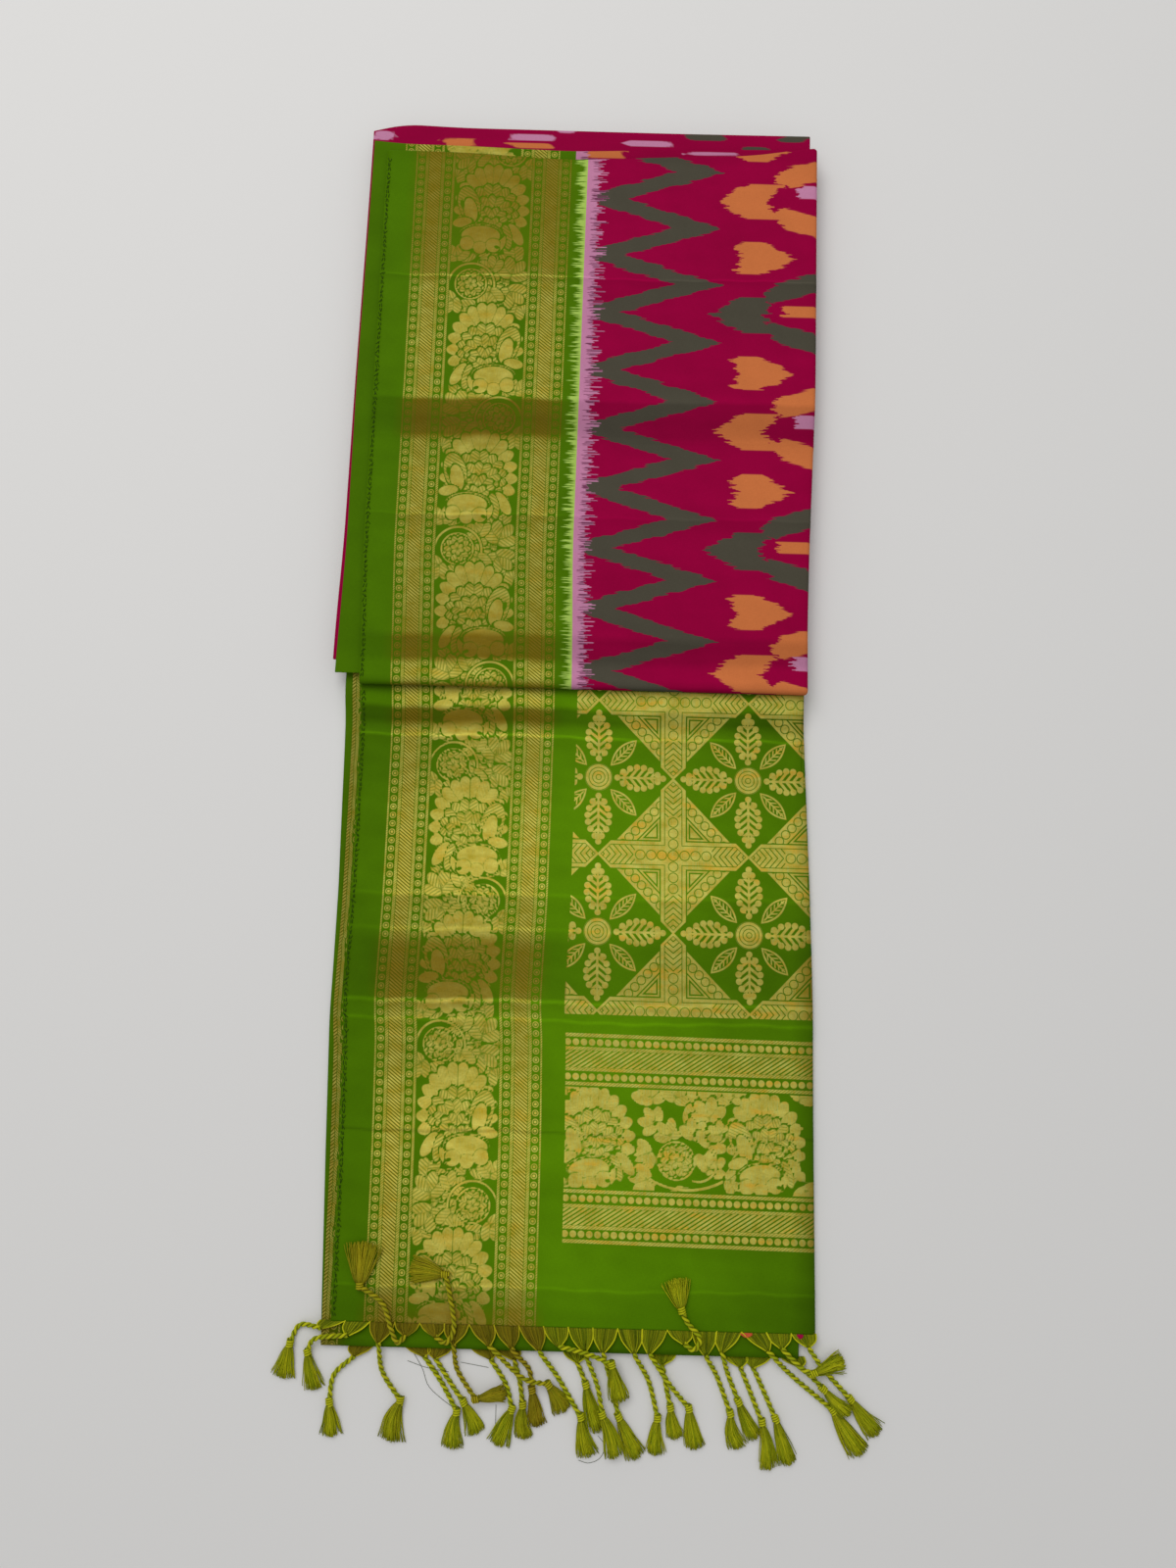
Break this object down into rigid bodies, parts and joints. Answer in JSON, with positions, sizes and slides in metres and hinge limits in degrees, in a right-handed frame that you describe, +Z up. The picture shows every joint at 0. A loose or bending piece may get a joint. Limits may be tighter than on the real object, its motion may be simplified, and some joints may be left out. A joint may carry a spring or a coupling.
{
  "type": "folded handloom silk saree with tasselled end piece",
  "caption": "Silk saree folded in four across and laid flat, with its brocade end piece drawn out and knotted tassels.",
  "frame": {"origin": "centre of the packet's flat underside, on the surface that the saree lies on", "axes": "+Z up out of the cloth, +Y along the saree from the tassels to the packet's back edge, +X across it"},
  "size_m": [0.3534, 0.8235, 0.018],
  "materials": {
    "body_silk": "ikat dyed silk, soft sheen",
    "border_brocade": "gold thread brocade on green silk",
    "border_silk": "green silk, soft sheen",
    "pallu_brocade": "green silk with gold thread lattice",
    "tassel_thread": "twisted silk thread"
  },
  "bodies": {
    "root": {"packet_border_ply": "border_silk", "packet_core": "body_silk", "packet_front_ply": "border_brocade", "packet_middle_ply": "body_silk", "packet_return_ply": "body_silk", "pallu": "pallu_brocade", "tassel_brown_hang": "tassel_thread", "tassel_brown_side": "tassel_thread", "tassel_cord_over": "tassel_thread", "tassel_cross_right": "tassel_thread", "tassel_far_left": "tassel_thread", "tassel_left_hang": "tassel_thread", "tassel_left_loop": "tassel_thread", "tassel_mid_broad": "tassel_thread", "tassel_mid_c": "tassel_thread", "tassel_mid_d": "tassel_thread", "tassel_mid_e": "tassel_thread", "tassel_mid_f": "tassel_thread", "tassel_mid_g": "tassel_thread", "tassel_mid_long": "tassel_thread", "tassel_pair_a_left": "tassel_thread", "tassel_pair_a_right": "tassel_thread", "tassel_pair_b_left": "tassel_thread", "tassel_pair_b_right": "tassel_thread", "tassel_pair_c_left": "tassel_thread", "tassel_pair_c_right": "tassel_thread", "tassel_right_far": "tassel_thread", "tassel_right_flick": "tassel_thread", "tassel_right_low": "tassel_thread", "tassel_right_short": "tassel_thread", "tassel_second_hang": "tassel_thread", "tassel_spread_left": "tassel_thread", "tassel_spread_mid": "tassel_thread", "tassel_up_left": "tassel_thread", "tassel_up_right": "tassel_thread", "tassel_up_side": "tassel_thread"}
  },
  "joints": []
}
